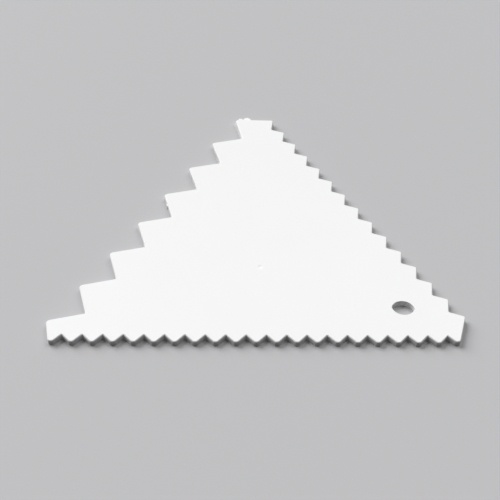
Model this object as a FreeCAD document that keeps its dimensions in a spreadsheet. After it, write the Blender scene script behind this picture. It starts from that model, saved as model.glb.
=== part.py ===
# Cake comb: a flat three-sided plate of moulded plastic with a different tooth size on each side.
# Millimetres, +Z up. The origin is the centre of the tooth-tip triangle, on the underside.
# The front side runs along +X. The right and left sides are the same layout turned by 120 and
# 240 degrees about the origin, so each side is drawn in its own frame: x along the side, y inwards.
import FreeCAD, Part
import math
import os
import Sketcher

# Driving dimensions, each written once.
SIZES = {
    # the plate
    "side_length": 137.0,          # sharp triangle that the tooth tips of all three sides touch
    "plate_thickness": 2.1,
    "rim_bevel": 0.25,             # bevel round the upper face
    "root_radius": 0.3,            # rounding at the bottom of every notch
    "stock": 1.5,                  # how far the blank reaches past the tooth tips before notching
    # the three cut corners: where each cut crosses the two sides, from their sharp corner
    "front_left_cut_on_front": 6.5,
    "front_left_cut_on_left": 9.6,
    "front_right_cut_on_front": 9.8,
    "front_right_cut_on_right": 12.2,
    "apex_cut_on_right": 14.7,
    "apex_cut_on_left": 14.3,
    # fine teeth along the front
    "front_pitch": 6.0,            # about this: the notches share out the length they have
    "front_notch_angle": 86.4,
    "front_tip_radius": 1.1,
    "front_lead_in": 10.1,         # sharp corner to the bottom of the first notch
    "front_run_out": 12.9,         # bottom of the last notch to the next sharp corner
    # medium teeth up the right side
    "right_pitch": 7.8,
    "right_notch_angle": 101.0,
    "right_tip_radius": 0.8,
    "right_lead_in": 16.3,
    "right_run_out": 19.3,
    # coarse teeth down the left side
    "left_pitch": 16.1,
    "left_notch_angle": 88.0,
    "left_tip_radius": 1.2,
    "left_lead_in": 22.65,
    "left_run_out": 17.75,
    # hanging hole near the front right corner, from the tooth-tip lines of its two sides
    "hole_length": 7.1,            # a pointed oval: two equal arcs that meet at its ends
    "hole_width": 5.5,
    "hole_turn": 4.2,              # from the front side's direction, clockwise, in degrees
    "hole_from_front": 13.9,
    "hole_from_right": 14.5,
    # shallow mould mark on the upper face, just in front of the middle
    "dish_width": 1.7,
    "dish_depth": 0.16,
    "dish_offset": 0.5,
    "dish_setback": 9.0,
    # broken-off stubs of the runner on the apex, left of its middle
    "stub_drop": 0.2,              # from the upper face down to the tops of the stubs
    "large_stub_radius": 1.5,
    "large_stub_reach": 1.55,
    "large_stub_offset": 2.15,
    "small_stub_radius": 1.2,
    "small_stub_reach": 0.85,
    "small_stub_offset": 4.75,
    # small burr on the flank of a coarse notch, counted from the apex
    "burr_notch": 4,
    "burr_drop": 0.7,
    "burr_radius": 1.1,
    "burr_reach": 0.35,
    "burr_from_root": 5.3,
}

# Turn of each side about the origin: a third of a turn each, as the outline passes them.
SIDE_ANGLES = {side: 360 * place / 3 for place, side in enumerate(("front", "right", "left"))}
CORNER_CUTS = [("front_left", "left", "front"), ("front_right", "front", "right"),
               ("apex", "right", "left")]

# Distances that follow from the triangle, in terms of the sheet.
HALF_SIDE = "sizes.side_length / 2"
INRADIUS = "sizes.side_length / (2 * sqrt(3))"
SLACK = 1.0                        # how far a cutting profile reaches past what it cuts
TINY = 1e-6                        # less than this is no length at all

doc = FreeCAD.newDocument("cake_comb")
sheet = doc.addObject("Spreadsheet::Sheet", "sizes")
for row, (alias, value) in enumerate(SIZES.items(), start=1):
    sheet.set("A%d" % row, alias)
    sheet.set("B%d" % row, str(value))
    sheet.setAlias("B%d" % row, alias)
doc.recompute()

body = doc.addObject("PartDesign::Body", "cake_comb")
body.Label = "cake_comb"
base_plane = [item for item in body.Origin.OriginFeatures if item.Role == "XY_Plane"][0]


def size(alias):
    """A driving dimension, as the sheet holds it."""
    return float(sheet.get(alias))


def value(formula):
    """What a formula of the sheet comes to."""
    return float(body.evalExpression(formula))


def turned(x, y, degrees):
    """The point x, y of a side's frame, as seen in the plate's own frame."""
    turn = math.radians(degrees)
    return (x * math.cos(turn) - y * math.sin(turn), x * math.sin(turn) + y * math.cos(turn))


def bind_place(feature, x, y, z="0", degrees=0):
    """Puts a feature at x, y, z of a side's frame; x, y and z are formulas of the sheet."""
    feature.AttachmentSupport = [(base_plane, "")]
    feature.MapMode = "FlatFace"
    turn = FreeCAD.Rotation(FreeCAD.Vector(0, 0, 1), degrees)
    feature.AttachmentOffset = FreeCAD.Placement(FreeCAD.Vector(0, 0, 0), turn)
    cosine = "cos(%d deg)" % degrees
    sine = "sin(%d deg)" % degrees
    feature.setExpression("AttachmentOffset.Base.x", "(%s) * %s - (%s) * %s" % (x, cosine, y, sine))
    feature.setExpression("AttachmentOffset.Base.y", "(%s) * %s + (%s) * %s" % (x, sine, y, cosine))
    feature.setExpression("AttachmentOffset.Base.z", z)


def new_sketch(name, x="0", y="0", degrees=0):
    """An empty sketch on the underside plane, with its own origin at x, y of a side's frame."""
    sketch = body.newObject("Sketcher::SketchObject", name)
    bind_place(sketch, x, y, degrees=degrees)
    return sketch


def bind(sketch, name, formula, *constraint):
    """Adds a dimension to a sketch and ties it to a formula of the sheet."""
    index = sketch.addConstraint(Sketcher.Constraint(*constraint))
    sketch.renameConstraint(index, name)
    sketch.setExpression("Constraints." + name, formula)


def line(sketch, start, end, construction=False):
    """A straight line of a sketch, by its two ends."""
    ends = [FreeCAD.Vector(point[0], point[1], 0) for point in (start, end)]
    return sketch.addGeometry(Part.LineSegment(*ends), construction)


def finish_feature(feature, grows):
    """Rebuilds up to this feature and stops if it did not add to or cut the plate as it should."""
    body.Tip = feature
    doc.recompute()
    before = feature.BaseFeature.Shape.Volume if feature.BaseFeature else 0.0
    after = feature.Shape.Volume
    if after == before or (after > before) != grows:
        raise SystemExit("%s did not change the plate: %.3f to %.3f" % (feature.Name, before, after))
    return feature


def pad(name, sketch, height):
    """Raises a sketch from the underside to a height given as a formula."""
    feature = body.newObject("PartDesign::Pad", name)
    feature.Profile = sketch
    feature.setExpression("Length", height)
    return finish_feature(feature, grows=True)


def cut_through(name, sketch):
    """Cuts a sketch through the whole plate, upwards from the underside."""
    feature = body.newObject("PartDesign::Pocket", name)
    feature.Profile = sketch
    feature.Type = "ThroughAll"
    feature.Reversed = True
    return finish_feature(feature, grows=False)


def draw_blank():
    """The blank: a triangle a little larger than the tooth tips, with its three corners cut."""
    sketch = new_sketch("blank_outline")
    half = size("side_length") / 2
    inradius = half / math.sqrt(3)
    corners = {cut[0]: turned(-half, -inradius, SIDE_ANGLES[cut[2]]) for cut in CORNER_CUTS}
    starts = {"front": "front_left", "right": "front_right", "left": "apex"}
    ends = {"front": "front_right", "right": "apex", "left": "front_left"}

    # the tooth-tip triangle, as construction lines
    tips = {side: line(sketch, corners[starts[side]], corners[ends[side]], True) for side in SIDE_ANGLES}
    for corner, side_in, side_out in CORNER_CUTS:
        sketch.addConstraint(Sketcher.Constraint("Coincident", tips[side_in], 2, tips[side_out], 1))
    sketch.addConstraint(Sketcher.Constraint("Horizontal", tips["front"]))
    sketch.addConstraint(Sketcher.Constraint("Equal", tips["front"], tips["right"]))
    sketch.addConstraint(Sketcher.Constraint("Equal", tips["right"], tips["left"]))
    sketch.addConstraint(Sketcher.Constraint("PointOnObject", tips["right"], 2, -2))
    bind(sketch, "side", "sizes.side_length", "Distance", tips["front"], 2 * half)
    bind(sketch, "apex_height", "sizes.side_length / sqrt(3)", "DistanceY", -1, 1, tips["right"], 2,
         2 * inradius)

    # the outline: three edges outside the tips, joined by the three corner cuts
    stock = size("stock")
    crossings = {}
    ends_of_cut = {}
    for corner, side_in, side_out in CORNER_CUTS:
        on_in = size("%s_cut_on_%s" % (corner, side_in))
        on_out = size("%s_cut_on_%s" % (corner, side_out))
        first = FreeCAD.Vector(*turned(half - on_in, -inradius, SIDE_ANGLES[side_in]))
        last = FreeCAD.Vector(*turned(-half + on_out, -inradius, SIDE_ANGLES[side_out]))
        crossings[corner] = (first, last)
        past_first = (first - last) * (stock / (on_out * math.sin(math.pi / 3)))
        past_last = (last - first) * (stock / (on_in * math.sin(math.pi / 3)))
        ends_of_cut[corner] = (first + past_first, last + past_last)
    edges = {side: line(sketch, ends_of_cut[starts[side]][1], ends_of_cut[ends[side]][0])
             for side in SIDE_ANGLES}
    for side in SIDE_ANGLES:
        sketch.addConstraint(Sketcher.Constraint("Parallel", edges[side], tips[side]))
        bind(sketch, side + "_stock", "sizes.stock", "Distance", tips[side], 1, edges[side], stock)
    for corner, side_in, side_out in CORNER_CUTS:
        cut = line(sketch, *ends_of_cut[corner])
        sketch.addConstraint(Sketcher.Constraint("Coincident", edges[side_in], 2, cut, 1))
        sketch.addConstraint(Sketcher.Constraint("Coincident", cut, 2, edges[side_out], 1))
        for number, (side, end) in enumerate(((side_in, 2), (side_out, 1))):
            mark = sketch.addGeometry(Part.Point(crossings[corner][number]), True)
            sketch.addConstraint(Sketcher.Constraint("PointOnObject", mark, 1, tips[side]))
            sketch.addConstraint(Sketcher.Constraint("PointOnObject", mark, 1, cut))
            alias = "%s_cut_on_%s" % (corner, side)
            bind(sketch, alias, "sizes." + alias, "Distance", mark, 1, tips[side], end, size(alias))
    return sketch


def notched_length(side):
    """From the bottom of a side's first notch to the bottom of its last."""
    return "(sizes.side_length - sizes.%s_lead_in - sizes.%s_run_out)" % (side, side)


def notch_spaces(side):
    """How many spaces between notches share that length."""
    return "round(%s / sizes.%s_pitch)" % (notched_length(side), side)


def notch_step(side):
    """From one notch of a side to the next."""
    return "%s / %s" % (notched_length(side), notch_spaces(side))


def notch_depth(side):
    """Depth of a side's notches below its tooth-tip line: neighbours meet on that line."""
    return "%s / 2 / tan(sizes.%s_notch_angle * 1 deg / 2)" % (notch_step(side), side)


def draw_notch(side):
    """The first notch of a side: a vee with a rounded root, open past the blank's edge."""
    sketch = new_sketch(side + "_notch_outline", "sizes.%s_lead_in - %s" % (side, HALF_SIDE),
                        "-(%s)" % INRADIUS, SIDE_ANGLES[side])
    half_angle = math.radians(size(side + "_notch_angle") / 2)
    root = size("root_radius")
    depth = value(notch_depth(side))
    centre = depth - root / math.sin(half_angle)
    mouth = size("stock") + SLACK
    half_mouth = (depth + mouth) * math.tan(half_angle)
    touch = (root * math.cos(half_angle), centre + root * math.sin(half_angle))

    left_flank = line(sketch, (-half_mouth, -mouth), (-touch[0], touch[1]))
    circle = Part.Circle(FreeCAD.Vector(0, centre, 0), FreeCAD.Vector(0, 0, 1), root)
    arc = sketch.addGeometry(Part.ArcOfCircle(circle, half_angle, math.pi - half_angle), False)
    right_flank = line(sketch, touch, (half_mouth, -mouth))
    opening = line(sketch, (half_mouth, -mouth), (-half_mouth, -mouth))
    sketch.addConstraint(Sketcher.Constraint("Tangent", left_flank, 2, arc, 2))
    sketch.addConstraint(Sketcher.Constraint("Tangent", arc, 1, right_flank, 1))
    sketch.addConstraint(Sketcher.Constraint("Coincident", right_flank, 2, opening, 1))
    sketch.addConstraint(Sketcher.Constraint("Coincident", opening, 2, left_flank, 1))
    sketch.addConstraint(Sketcher.Constraint("Symmetric", left_flank, 1, right_flank, 2, -2))
    sketch.addConstraint(Sketcher.Constraint("PointOnObject", arc, 3, -2))
    bind(sketch, "root_radius", "sizes.root_radius", "Radius", arc, root)
    bind(sketch, "half_angle", "(180 - sizes.%s_notch_angle) / 2 * 1 deg" % side,
         "Angle", opening, 2, left_flank, 1, math.pi / 2 - half_angle)
    bind(sketch, "root_centre", "%s - sizes.root_radius / sin(sizes.%s_notch_angle * 1 deg / 2)"
         % (notch_depth(side), side), "DistanceY", -1, 1, arc, 3, centre)
    bind(sketch, "mouth", "sizes.stock + %s" % SLACK, "DistanceY", opening, 1, -1, 1, mouth)
    return sketch


def cut_teeth(side):
    """Cuts a side's first notch and repeats it, evenly spaced, to the side's last."""
    sketch = draw_notch(side)
    notch = cut_through(side + "_notch", sketch)
    row = body.newObject("PartDesign::LinearPattern", side + "_teeth")
    row.Originals = [notch]
    row.Direction = (sketch, ["H_Axis"])
    row.setExpression("Occurrences", notch_spaces(side) + " + 1")
    row.setExpression("Length", notched_length(side))
    return finish_feature(row, grows=False)


def tip_edges(shape, side):
    """Names of the upright edges at a side's sharp tooth tips."""
    inradius = size("side_length") / 2 / math.sqrt(3)
    depth = value(notch_depth(side))
    names = []
    for number, edge in enumerate(shape.Edges, start=1):
        box = edge.BoundBox
        if max(box.XLength, box.YLength) > TINY:
            continue
        depths = {other: turned(box.Center.x, box.Center.y, -turn)[1] + inradius
                  for other, turn in SIDE_ANGLES.items()}
        if min(depths, key=depths.get) == side and depths[side] < depth / 2:
            names.append("Edge%d" % number)
    return names


def round_tips(side):
    """Rounds a side's tooth tips."""
    toothed = body.Tip
    fillet = body.newObject("PartDesign::Fillet", side + "_tips")
    fillet.Base = (toothed, tip_edges(toothed.Shape, side))
    fillet.setExpression("Radius", "sizes.%s_tip_radius" % side)
    return finish_feature(fillet, grows=False)


def top_face(shape):
    """Name of the large flat upper face."""
    faces = [(face.BoundBox.ZMin, face.Area, number)
             for number, face in enumerate(shape.Faces, start=1) if face.BoundBox.ZLength < TINY]
    return "Face%d" % max(faces)[2]


def bevel_rim():
    """Bevels the whole outline of the upper face."""
    rounded = body.Tip
    bevel = body.newObject("PartDesign::Chamfer", "upper_rim")
    bevel.Base = (rounded, [top_face(rounded.Shape)])
    bevel.setExpression("Size", "sizes.rim_bevel")
    return finish_feature(bevel, grows=False)


def draw_disc(name, radius, x, y, degrees=0):
    """A circle whose radius is a formula, with its centre at x, y of a side's frame."""
    sketch = new_sketch(name, x, y, degrees)
    circle = Part.Circle(FreeCAD.Vector(0, 0, 0), FreeCAD.Vector(0, 0, 1), 1)
    disc = sketch.addGeometry(circle, False)
    sketch.addConstraint(Sketcher.Constraint("Coincident", disc, 3, -1, 1))
    bind(sketch, "radius", radius, "Radius", disc, 1)
    return sketch


def draw_oval(name, x, y):
    """The hole's outline: two arcs, alike, one bulging to each side of its length."""
    sketch = new_sketch(name, x, y)
    sketch.setExpression("AttachmentOffset.Rotation.Angle", "-sizes.hole_turn * 1 deg")
    half_length = size("hole_length") / 2
    half_width = size("hole_width") / 2
    arcs = []
    for bulge in (half_width, -half_width):
        ends = [FreeCAD.Vector(half_length, 0, 0), FreeCAD.Vector(-half_length, 0, 0)]
        if bulge < 0:
            ends.reverse()
        arc = Part.Arc(ends[0], FreeCAD.Vector(0, bulge, 0), ends[1])
        arcs.append(sketch.addGeometry(arc, False))
    sketch.addConstraint(Sketcher.Constraint("Coincident", arcs[0], 2, arcs[1], 1))
    sketch.addConstraint(Sketcher.Constraint("Coincident", arcs[1], 2, arcs[0], 1))
    sketch.addConstraint(Sketcher.Constraint("Equal", arcs[0], arcs[1]))
    sketch.addConstraint(Sketcher.Constraint("Symmetric", arcs[0], 1, arcs[0], 2, -1, 1))
    sketch.addConstraint(Sketcher.Constraint("PointOnObject", arcs[0], 1, -1))
    bind(sketch, "length", "sizes.hole_length", "DistanceX", arcs[0], 2, arcs[0], 1, 2 * half_length)
    radius = (half_length ** 2 + half_width ** 2) / (2 * half_width)
    bind(sketch, "arc_radius", "(sizes.hole_length ^ 2 + sizes.hole_width ^ 2) / (4 * sizes.hole_width)",
         "Radius", arcs[0], radius)
    return sketch


def cut_hole():
    """The hanging hole."""
    x = "(1.5 * %s - sizes.hole_from_right - sizes.hole_from_front / 2) / cos(30 deg)" % INRADIUS
    y = "sizes.hole_from_front - %s" % INRADIUS
    cut_through("hanging_hole", draw_oval("hole_outline", x, y))


def sink_dish():
    """The mould mark: a shallow round dish in the upper face."""
    dish = body.newObject("PartDesign::SubtractiveSphere", "mould_mark")
    radius = "(sizes.dish_width ^ 2 / 4 + sizes.dish_depth ^ 2) / (2 * sizes.dish_depth)"
    dish.setExpression("Radius", radius)
    bind_place(dish, "sizes.dish_offset", "-sizes.dish_setback",
               "sizes.plate_thickness - sizes.dish_depth + " + radius)
    return finish_feature(dish, grows=False)


def raise_stubs():
    """The two broken-off stubs of the runner, standing out of the apex's cut edge."""
    # the cut edge runs straight between its two crossings of the tooth-tip lines
    left_x = "-sizes.apex_cut_on_left / 2"
    left_y = "sizes.side_length / sqrt(3) - sizes.apex_cut_on_left * cos(30 deg)"
    width = "(sizes.apex_cut_on_right + sizes.apex_cut_on_left) / 2"
    drop = "(sizes.apex_cut_on_right - sizes.apex_cut_on_left) * cos(30 deg)"
    for kind in ("large", "small"):
        stub = "sizes.%s_stub_" % kind
        x = "-%soffset" % stub
        edge_y = "%s - %s * (%s - (%s)) / (%s)" % (left_y, drop, x, left_x, width)
        y = "%s + %sreach - %sradius" % (edge_y, stub, stub)
        sketch = draw_disc(kind + "_stub_outline", stub + "radius", x, y)
        pad(kind + "_stub", sketch, "sizes.plate_thickness - sizes.stub_drop")


def raise_burr():
    """A small burr on the apex-side flank of one coarse notch."""
    flank = "(90 - sizes.left_notch_angle / 2) * 1 deg"
    along = "sizes.left_lead_in + %s * (sizes.burr_notch - 1) - %s" % (notch_step("left"), HALF_SIDE)
    inset = "sizes.burr_reach - sizes.burr_radius"
    # along the flank from the root, then square to it into the notch
    x = "%s - sizes.burr_from_root * cos(%s) + (%s) * sin(%s)" % (along, flank, inset, flank)
    y = "%s - (%s) - sizes.burr_from_root * sin(%s) - (%s) * cos(%s)" % (
        notch_depth("left"), INRADIUS, flank, inset, flank)
    sketch = draw_disc("burr_outline", "sizes.burr_radius", x, y, SIDE_ANGLES["left"])
    pad("burr", sketch, "sizes.plate_thickness - sizes.burr_drop")


pad("blank", draw_blank(), "sizes.plate_thickness")
for side in SIDE_ANGLES:
    cut_teeth(side)
for side in SIDE_ANGLES:
    round_tips(side)
bevel_rim()
cut_hole()
sink_dish()
raise_stubs()
raise_burr()

doc.recompute()
for item in doc.Objects:
    if "Invalid" in item.State or "Error" in item.State:
        raise SystemExit("%s failed: %s" % (item.Name, item.State))
if body.Shape.isNull() or not body.Shape.isValid() or len(body.Shape.Solids) != 1:
    raise SystemExit("the comb is not one valid solid")

os.makedirs("parts", exist_ok=True)
body.Shape.exportStep("parts/%s.step" % body.Label)
box = body.Shape.BoundBox
print("box", [round(v, 3) for v in (box.XMin, box.XMax, box.YMin, box.YMax, box.ZMin, box.ZMax)])
print("volume %.1f mm3, faces %d" % (body.Shape.Volume, len(body.Shape.Faces)))
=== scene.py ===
import math

import bpy
from mathutils import Matrix, Vector, noise


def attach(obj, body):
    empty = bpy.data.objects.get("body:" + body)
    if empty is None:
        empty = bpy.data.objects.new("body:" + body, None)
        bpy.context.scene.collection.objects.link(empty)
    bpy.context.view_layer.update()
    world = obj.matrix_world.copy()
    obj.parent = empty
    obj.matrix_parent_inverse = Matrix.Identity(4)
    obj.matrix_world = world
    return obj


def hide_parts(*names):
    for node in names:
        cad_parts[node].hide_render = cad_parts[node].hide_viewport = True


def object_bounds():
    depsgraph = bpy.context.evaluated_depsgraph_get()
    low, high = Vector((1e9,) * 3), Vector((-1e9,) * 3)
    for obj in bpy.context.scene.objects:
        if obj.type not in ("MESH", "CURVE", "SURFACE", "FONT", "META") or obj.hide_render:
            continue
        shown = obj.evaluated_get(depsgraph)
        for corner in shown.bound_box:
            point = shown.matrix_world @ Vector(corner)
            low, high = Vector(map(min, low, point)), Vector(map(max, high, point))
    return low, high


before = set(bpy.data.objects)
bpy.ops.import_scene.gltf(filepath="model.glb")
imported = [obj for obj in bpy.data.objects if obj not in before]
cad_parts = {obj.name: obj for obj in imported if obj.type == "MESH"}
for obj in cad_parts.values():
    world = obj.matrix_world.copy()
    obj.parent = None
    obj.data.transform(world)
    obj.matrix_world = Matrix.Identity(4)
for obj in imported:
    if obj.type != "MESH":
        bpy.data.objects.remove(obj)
cad_low, cad_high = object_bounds()

MM = 0.001

# The camera, as the photograph was taken.
CAMERA_PLACE = (-13.77 * MM, -195.63 * MM, 203.40 * MM)
CAMERA_HEADING = 3.309              # degrees to the right of straight ahead
CAMERA_DIP = 46.015                 # degrees below the horizon
CAMERA_ROLL = 2.850                 # degrees
CAMERA_FOCAL = 868.2                # pixels
FRAME_WIDTH = 500                   # pixels
SENSOR_WIDTH = 36.0                 # millimetres, as a lens is given
NEAREST_SEEN = 0.005
FARTHEST_SEEN = 100

# The merged surface and its edges.
SAME_POINT = 0.5e-6                 # points nearer than this are one
FLAT = math.radians(1)              # faces that turn less than this are one flat stretch
EDGE_WIDTH = 0.07 * MM              # softening of every sharp edge
EDGE_STEPS = 2
SHARP_ANGLE = math.radians(30)
SMOOTH_ANGLE = math.radians(40)
LARGE_FACE_WEIGHT = 100             # the shading follows the large flat faces

# Places where the edge is out of true, from a knock or from the mould. Each is drawn by far
# towards its heading; below and above are how much of that the underside and the upper face take.
DRAWN_PLACES = {
    "apex_left_corner": {
        "middle": (-6.9 * MM, 65.9 * MM), "reach": 2.2 * MM, "far": 0.75 * MM, "heading": -10,
        "below": 0.15, "above": 1.0},
    "burr_up_its_flank": {
        "middle": (-29.0 * MM, 18.79 * MM), "reach": 2.4 * MM, "far": 1.3 * MM, "heading": 104.6,
        "below": 1.0, "above": 1.0},
    "burred_tooth_tip": {
        "middle": (-31.2 * MM, 23.7 * MM), "reach": 1.2 * MM, "far": 0.2 * MM, "heading": 194.6,
        "below": 1.0, "above": 0.0},
}

# Torn plastic, on the two stubs and the burr. Each is round and stands out of an edge towards its
# heading, its middle lies inside that edge by its inset, and the tear eats into it by its depth.
TORN_PLACES = {
    "large_stub": {
        "middle": (-2.15 * MM, 66.64 * MM), "radius": 1.5 * MM, "inset": -0.05 * MM,
        "heading": 89, "depth": 0.5 * MM},
    "small_stub": {
        "middle": (-4.75 * MM, 66.31 * MM), "radius": 1.2 * MM, "inset": 0.35 * MM,
        "heading": 89, "depth": 0.3 * MM},
    "burr": {
        "middle": (-29.33 * MM, 20.05 * MM), "radius": 1.1 * MM, "inset": 0.75 * MM,
        "heading": 194.6, "depth": 0.15 * MM},
}
TORN_REACH = 1.1                    # how far round its middle a tear reaches, in radii
TORN_RISE = 0.3 * MM                # from whole plastic at the edge to fully torn
TORN_SINK = 0.5                     # how strongly high points are drawn down as well as in
TORN_CUTS = 3
TORN_GRAIN = 0.5 * MM

# The mould mark, a shallow dish that the melt flowed out from.
MOULD_MARK = (0.5 * MM, -9.0 * MM, 2.1 * MM)
MARK_REACH = 1.0 * MM
MARK_DEPTH_LEFT = 0.8               # how much of the dish the flow left

# The white plastic.
DEEPER_WHITE = (0.885, 0.885, 0.89, 1)
PALER_WHITE = (0.905, 0.905, 0.91, 1)
PLASTIC_IOR = 1.49
PLASTIC_SPECULAR = 0.35
SATIN_ROUGHNESS = (0.44, 0.54)      # from the hollows to the tops of the grain
HAIRLINE_ROUGHNESS = 0.10           # what a hairline adds
TORN_ROUGHNESS = 0.35               # what torn plastic adds
CLOUDS_PER_METRE = 45               # the white is uneven over a few centimetres
GRAINS_PER_METRE = 2600             # the mould's fine grain
SURFACE_DETAIL = 2                  # of both
STREAK_DETAIL = 1
RING_PITCH = 1.3 * MM               # flow rings round the mould mark
RING_REACH = 7 * MM
RING_HEIGHT = 0.35                  # of the grain's, beside the mark
HAIRLINE_SLANTS = (-0.45, 1.2)      # radians
HAIRLINE_SIZE = (14 * MM, 0.4 * MM, 14 * MM)
HAIRLINE_SHARE = (0.69, 0.77)       # of the streaks, only the strongest are hairlines
HAIRLINE_DEPTH = 0.5                # of the grain's height
RELIEF_STRENGTH = 0.45
RELIEF_HEIGHT = 0.02 * MM

# The table, as the camera sees it and as it throws light back up at the comb.
TABLE_SEEN = (0.50, 0.50, 0.51, 1)
TABLE_SCATTERED = (0.06, 0.06, 0.06, 1)
TABLE_ROUGHNESS = 0.8
TABLE_RADIUS = 6
TABLE_CORNERS = 96

# The light: two broad distant lamps behind the comb, with their azimuth, elevation and breadth in
# degrees, and an even world that is weaker on the comb than the camera sees it.
LAMPS = {
    "back_left_lamp": {"azimuth": 138, "elevation": 36, "strength": 3.25, "breadth": 50},
    "back_right_lamp": {"azimuth": 42, "elevation": 55, "strength": 1.15, "breadth": 50},
}
WORLD_COLOUR = (1, 1, 1, 1)
WORLD_SCATTERED = 0.10
WORLD_SEEN = 0.51


def deselect_all():
    """Leaves nothing selected, so that an operator acts on one piece alone."""
    if bpy.context.object and bpy.context.object.mode != "OBJECT":
        bpy.ops.object.mode_set(mode="OBJECT")
    bpy.ops.object.select_all(action="DESELECT")


def make_active(piece):
    """Selects one piece alone."""
    deselect_all()
    piece.select_set(True)
    bpy.context.view_layer.objects.active = piece


def merged_copy(name, node):
    """A CAD node's mesh as one closed surface, with the flat stretches as single faces."""
    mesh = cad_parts[node].data.copy()
    piece = bpy.data.objects.new(name, mesh)
    bpy.context.collection.objects.link(piece)
    make_active(piece)
    bpy.ops.mesh.customdata_custom_splitnormals_clear()
    bpy.ops.object.mode_set(mode="EDIT")
    bpy.ops.mesh.select_all(action="SELECT")
    bpy.ops.mesh.remove_doubles(threshold=SAME_POINT)
    bpy.ops.mesh.dissolve_limited(angle_limit=FLAT)
    bpy.ops.object.mode_set(mode="OBJECT")
    return piece


def finish_modifier(piece, kind, **settings):
    """Adds a modifier with these settings and applies it."""
    make_active(piece)
    modifier = piece.modifiers.new(kind.lower(), kind)
    for setting, value in settings.items():
        setattr(modifier, setting, value)
    bpy.ops.object.modifier_apply(modifier=modifier.name)


def soften_edges(piece):
    """Rounds every sharp edge a little."""
    finish_modifier(piece, "BEVEL", width=EDGE_WIDTH, segments=EDGE_STEPS, limit_method="ANGLE",
                    angle_limit=SHARP_ANGLE, use_clamp_overlap=True)


def shade_smooth(piece):
    """Shades the rounded stretches smooth and keeps the flat ones flat."""
    make_active(piece)
    bpy.ops.object.shade_smooth_by_angle(angle=SMOOTH_ANGLE)
    finish_modifier(piece, "WEIGHTED_NORMAL", keep_sharp=True, weight=LARGE_FACE_WEIGHT)


def direction(degrees):
    """The level unit vector at an angle from +X towards +Y."""
    turn = math.radians(degrees)
    return Vector((math.cos(turn), math.sin(turn), 0))


def level_offset(point, middle):
    """From a place on the plate to a point, seen from above."""
    return point - Vector((*middle, point.z))


def draw_out_of_true(piece):
    """Draws the edge sideways at each drawn place, fully within half its reach, less beyond."""
    for place in DRAWN_PLACES.values():
        for vertex in piece.data.vertices:
            away = level_offset(vertex.co, place["middle"]).length
            share = min(max(2 - 2 * away / place["reach"], 0), 1)
            height = vertex.co.z / cad_high.z
            taken = place["below"] + (place["above"] - place["below"]) * height
            vertex.co += direction(place["heading"]) * (place["far"] * share * taken)


def level_mark(piece):
    """Makes the mould mark's dish shallower."""
    for vertex in piece.data.vertices:
        if (vertex.co - Vector(MOULD_MARK)).length < MARK_REACH:
            vertex.co.z = cad_high.z + MARK_DEPTH_LEFT * (vertex.co.z - cad_high.z)


def outwards_of(point, place):
    """How far a point stands out of the edge that carries a torn place."""
    return level_offset(point, place["middle"]).dot(direction(place["heading"])) - place["inset"]


def torn_share(point, place):
    """0 on whole plastic, 1 on plastic torn right through, for one torn place."""
    if level_offset(point, place["middle"]).length > TORN_REACH * place["radius"]:
        return 0.0
    return min(max(outwards_of(point, place) / TORN_RISE, 0.0), 1.0)


def on_torn_place(face, corners, place):
    """Whether a face lies on the stub or burr itself."""
    return outwards_of(face.center, place) > 0 and all(
        level_offset(corner, place["middle"]).length < TORN_REACH * place["radius"]
        for corner in corners)


def refine_torn_faces(piece):
    """Divides the faces of the stubs and the burr finely."""
    for face in piece.data.polygons:
        corners = [piece.data.vertices[index].co for index in face.vertices]
        face.select = any(on_torn_place(face, corners, place) for place in TORN_PLACES.values())
    make_active(piece)
    bpy.ops.object.mode_set(mode="EDIT")
    bpy.ops.mesh.select_mode(type="FACE")
    bpy.ops.mesh.quads_convert_to_tris()
    bpy.ops.mesh.subdivide(number_cuts=TORN_CUTS)
    bpy.ops.object.mode_set(mode="OBJECT")


def tear_plastic(piece):
    """Eats into the stubs and the burr unevenly, and notes on every point how torn it is."""
    refine_torn_faces(piece)
    torn = piece.data.attributes.new("torn", "FLOAT", "POINT")
    for vertex in piece.data.vertices:
        for place in TORN_PLACES.values():
            share = torn_share(vertex.co, place)
            if share == 0:
                continue
            torn.data[vertex.index].value = share
            grain = 0.5 + 0.5 * noise.noise(vertex.co / TORN_GRAIN)
            heart = Vector((*place["middle"], 0)) - direction(place["heading"]) * place["radius"]
            inwards = heart - vertex.co
            inwards.z = -TORN_SINK * vertex.co.z
            vertex.co += inwards.normalized() * (place["depth"] * share * grain)


def make_camera():
    """The camera at the photograph's place, tilt and roll."""
    data = bpy.data.cameras.new("camera")
    data.sensor_width = SENSOR_WIDTH
    data.lens = CAMERA_FOCAL * SENSOR_WIDTH / FRAME_WIDTH
    data.clip_start = NEAREST_SEEN
    data.clip_end = FARTHEST_SEEN
    camera = bpy.data.objects.new("camera", data)
    bpy.context.collection.objects.link(camera)
    turn = (Matrix.Rotation(-math.radians(CAMERA_HEADING), 4, "Z")
            @ Matrix.Rotation(math.radians(90 - CAMERA_DIP), 4, "X")
            @ Matrix.Rotation(math.radians(CAMERA_ROLL), 4, "Z"))
    camera.matrix_world = Matrix.Translation(CAMERA_PLACE) @ turn
    bpy.context.scene.camera = camera


def set_inputs(tree, node, inputs):
    """Sets each input of a shader node to its value, or links it to the socket it is given."""
    for name, value in inputs.items():
        if isinstance(value, bpy.types.NodeSocket):
            tree.links.new(value, node.inputs[name])
        else:
            node.inputs[name].default_value = value


def add_node(tree, kind, inputs=None, **settings):
    """Adds a shader node with these inputs and settings."""
    node = tree.nodes.new("ShaderNode" + kind)
    for setting, value in settings.items():
        setattr(node, setting, value)
    set_inputs(tree, node, inputs or {})
    return node


def worked_out(tree, operation, *values, clamp=False):
    """The result of one step of arithmetic on sockets and numbers."""
    node = add_node(tree, "Math", dict(enumerate(values)), operation=operation, use_clamp=clamp)
    return node.outputs["Value"]


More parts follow.
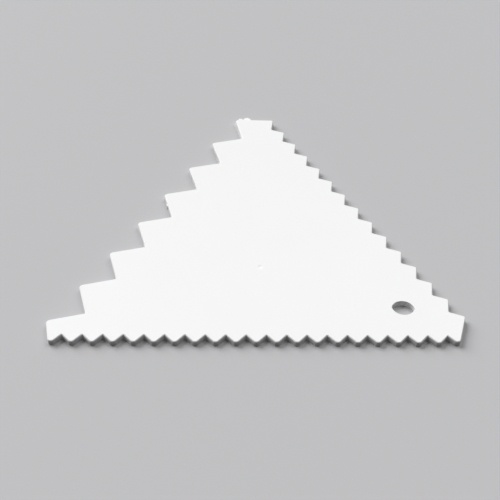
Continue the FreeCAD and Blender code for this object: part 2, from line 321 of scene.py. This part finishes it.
def carried_over(tree, value, start=(0, 1), end=(0, 1)):
    """A value carried over from one range to another, and held within it."""
    return add_node(tree, "MapRange", {
        "Value": value, "From Min": start[0], "From Max": start[1],
        "To Min": end[0], "To Max": end[1]}).outputs["Result"]


def mixed(tree, share, first, second):
    """A colour between two others."""
    inputs = {"Factor": share, "A": first, "B": second}
    return add_node(tree, "Mix", inputs, data_type="RGBA").outputs["Result"]


def cloudy(tree, place, scale, detail):
    """Uneven values from 0 to 1 over a surface."""
    inputs = {"Vector": place, "Scale": scale, "Detail": detail}
    return add_node(tree, "TexNoise", inputs).outputs["Fac"]


def new_material(name):
    """An empty node material, with its tree and its shader."""
    material = bpy.data.materials.new(name)
    material.use_nodes = True
    tree = material.node_tree
    return material, tree, tree.nodes["Principled BSDF"]


def flow_rings(tree, place):
    """Rings round the mould mark, which fade with the distance from it."""
    distance = add_node(tree, "VectorMath", {0: place, 1: MOULD_MARK}, operation="DISTANCE")
    away = distance.outputs["Value"]
    rings = worked_out(tree, "SINE", worked_out(tree, "MULTIPLY", away, 2 * math.pi / RING_PITCH))
    fade = carried_over(tree, away, start=(0, RING_REACH), end=(RING_HEIGHT, 0))
    return worked_out(tree, "MULTIPLY", rings, fade)


def hairlines(tree, place, slant):
    """Sparse straight hairlines of use at one slant: 1 along a hairline, 0 beside it."""
    inputs = {"Vector": place, "Rotation": (0, 0, slant), "Scale": HAIRLINE_SIZE}
    stretched = add_node(tree, "Mapping", inputs, vector_type="TEXTURE").outputs["Vector"]
    streaks = cloudy(tree, stretched, 1, STREAK_DETAIL)
    return carried_over(tree, streaks, start=HAIRLINE_SHARE)


def white_plastic():
    """Satin white moulded plastic: faint flow rings, fine grain, hairlines and torn places."""
    material, tree, shader = new_material("white_plastic")
    place = add_node(tree, "TexCoord").outputs["Object"]
    clouds = cloudy(tree, place, CLOUDS_PER_METRE, SURFACE_DETAIL)
    grain = cloudy(tree, place, GRAINS_PER_METRE, SURFACE_DETAIL)
    hairs = worked_out(tree, "MAXIMUM",
                       *(hairlines(tree, place, slant) for slant in HAIRLINE_SLANTS))

    # satin, duller on hairlines and where the plastic is torn
    satin = carried_over(tree, grain, end=SATIN_ROUGHNESS)
    scuffed = worked_out(tree, "MULTIPLY_ADD", hairs, HAIRLINE_ROUGHNESS, satin)
    torn = add_node(tree, "Attribute", attribute_name="torn").outputs["Fac"]
    roughness = worked_out(tree, "MULTIPLY_ADD", torn, TORN_ROUGHNESS, scuffed, clamp=True)

    # grain and flow rings stand up, hairlines are cut in
    raised = worked_out(tree, "ADD", grain, flow_rings(tree, place))
    relief = worked_out(tree, "MULTIPLY_ADD", hairs, -HAIRLINE_DEPTH, raised)
    bump = add_node(tree, "Bump", {
        "Strength": RELIEF_STRENGTH, "Distance": RELIEF_HEIGHT, "Height": relief})

    set_inputs(tree, shader, {
        "Base Color": mixed(tree, clouds, DEEPER_WHITE, PALER_WHITE),
        "Roughness": roughness,
        "IOR": PLASTIC_IOR,
        "Specular IOR Level": PLASTIC_SPECULAR,
        "Normal": bump.outputs["Normal"]})
    return material


def seen_directly(tree):
    """1 for what the camera sees, also in a reflection or through glass, 0 for scattered light."""
    rays = add_node(tree, "LightPath").outputs
    seen = worked_out(tree, "MAXIMUM", rays["Is Camera Ray"], rays["Is Glossy Ray"])
    return worked_out(tree, "MAXIMUM", seen, rays["Is Transmission Ray"])


def pale_floor():
    """The plain pale table that the comb lies on; it throws hardly any light back at the comb."""
    material, tree, shader = new_material("pale_floor")
    set_inputs(tree, shader, {
        "Base Color": mixed(tree, seen_directly(tree), TABLE_SCATTERED, TABLE_SEEN),
        "Roughness": TABLE_ROUGHNESS})
    deselect_all()
    bpy.ops.mesh.primitive_circle_add(vertices=TABLE_CORNERS, radius=TABLE_RADIUS,
                                      fill_type="NGON", location=(0, 0, cad_low.z))
    floor = bpy.context.object
    floor.name = "floor"
    floor.data.materials.append(material)


def add_lamp(name, azimuth, elevation, strength, breadth):
    """A broad distant lamp."""
    data = bpy.data.lights.new(name, "SUN")
    data.energy = strength
    data.angle = math.radians(breadth)
    lamp = bpy.data.objects.new(name, data)
    bpy.context.collection.objects.link(lamp)
    rise = math.radians(elevation)
    towards = direction(azimuth) * math.cos(rise) + Vector((0, 0, math.sin(rise)))
    lamp.rotation_euler = towards.to_track_quat("Z", "Y").to_euler()


def light_the_scene():
    """The lamps, and a weak even fill from the world."""
    for name, lamp in LAMPS.items():
        add_lamp(name, **lamp)
    world = bpy.data.worlds.new("studio")
    bpy.context.scene.world = world
    world.use_nodes = True
    tree = world.node_tree
    strength = carried_over(tree, seen_directly(tree), end=(WORLD_SCATTERED, WORLD_SEEN))
    set_inputs(tree, tree.nodes["Background"], {"Color": WORLD_COLOUR, "Strength": strength})


make_camera()
comb = merged_copy("comb", "cake_comb")
soften_edges(comb)
draw_out_of_true(comb)
level_mark(comb)
tear_plastic(comb)
shade_smooth(comb)
comb.data.materials.clear()
comb.data.materials.append(white_plastic())
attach(comb, "root")
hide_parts("cake_comb")

pale_floor()
light_the_scene()
bpy.context.scene.view_settings.view_transform = "Standard"
